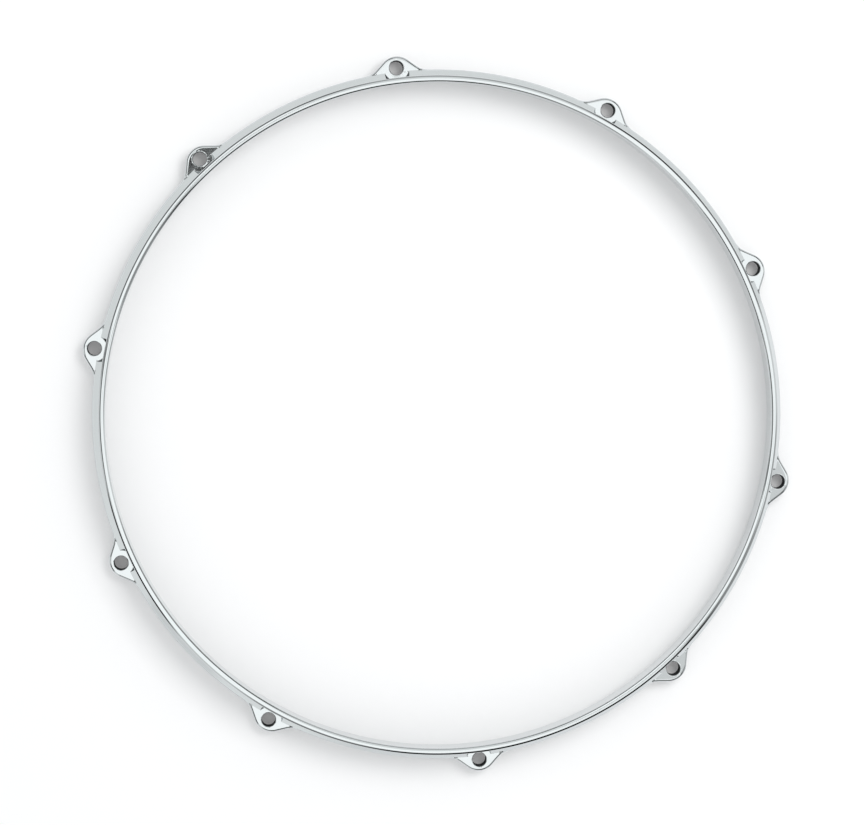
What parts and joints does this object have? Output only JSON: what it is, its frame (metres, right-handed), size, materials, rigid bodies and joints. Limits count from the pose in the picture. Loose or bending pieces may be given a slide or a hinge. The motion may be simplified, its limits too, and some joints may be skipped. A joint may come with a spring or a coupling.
{
  "type": "drum hoop",
  "caption": "Round die-cast metal drum hoop with a rounded rim, a stepped wall, a ledge that presses on the head, and lug ears with holes for tension rods.",
  "frame": {"origin": "on the axis of the hoop, in the plane of its underside", "axes": "+Z along the axis from the underside up to the rim, +Y through the middle of lug_ear_01"},
  "size_m": [0.3768, 0.3936, 0.024],
  "materials": {
    "chrome_plate": "polished chrome plate on a zinc die casting"
  },
  "bodies": {
    "root": {"hoop_ring": "chrome_plate", "lug_ear_01": "chrome_plate", "lug_ear_02": "chrome_plate", "lug_ear_03": "chrome_plate", "lug_ear_04": "chrome_plate", "lug_ear_05": "chrome_plate", "lug_ear_06": "chrome_plate", "lug_ear_07": "chrome_plate", "lug_ear_08": "chrome_plate", "lug_ear_09": "chrome_plate", "lug_ear_10": "chrome_plate"}
  },
  "joints": []
}
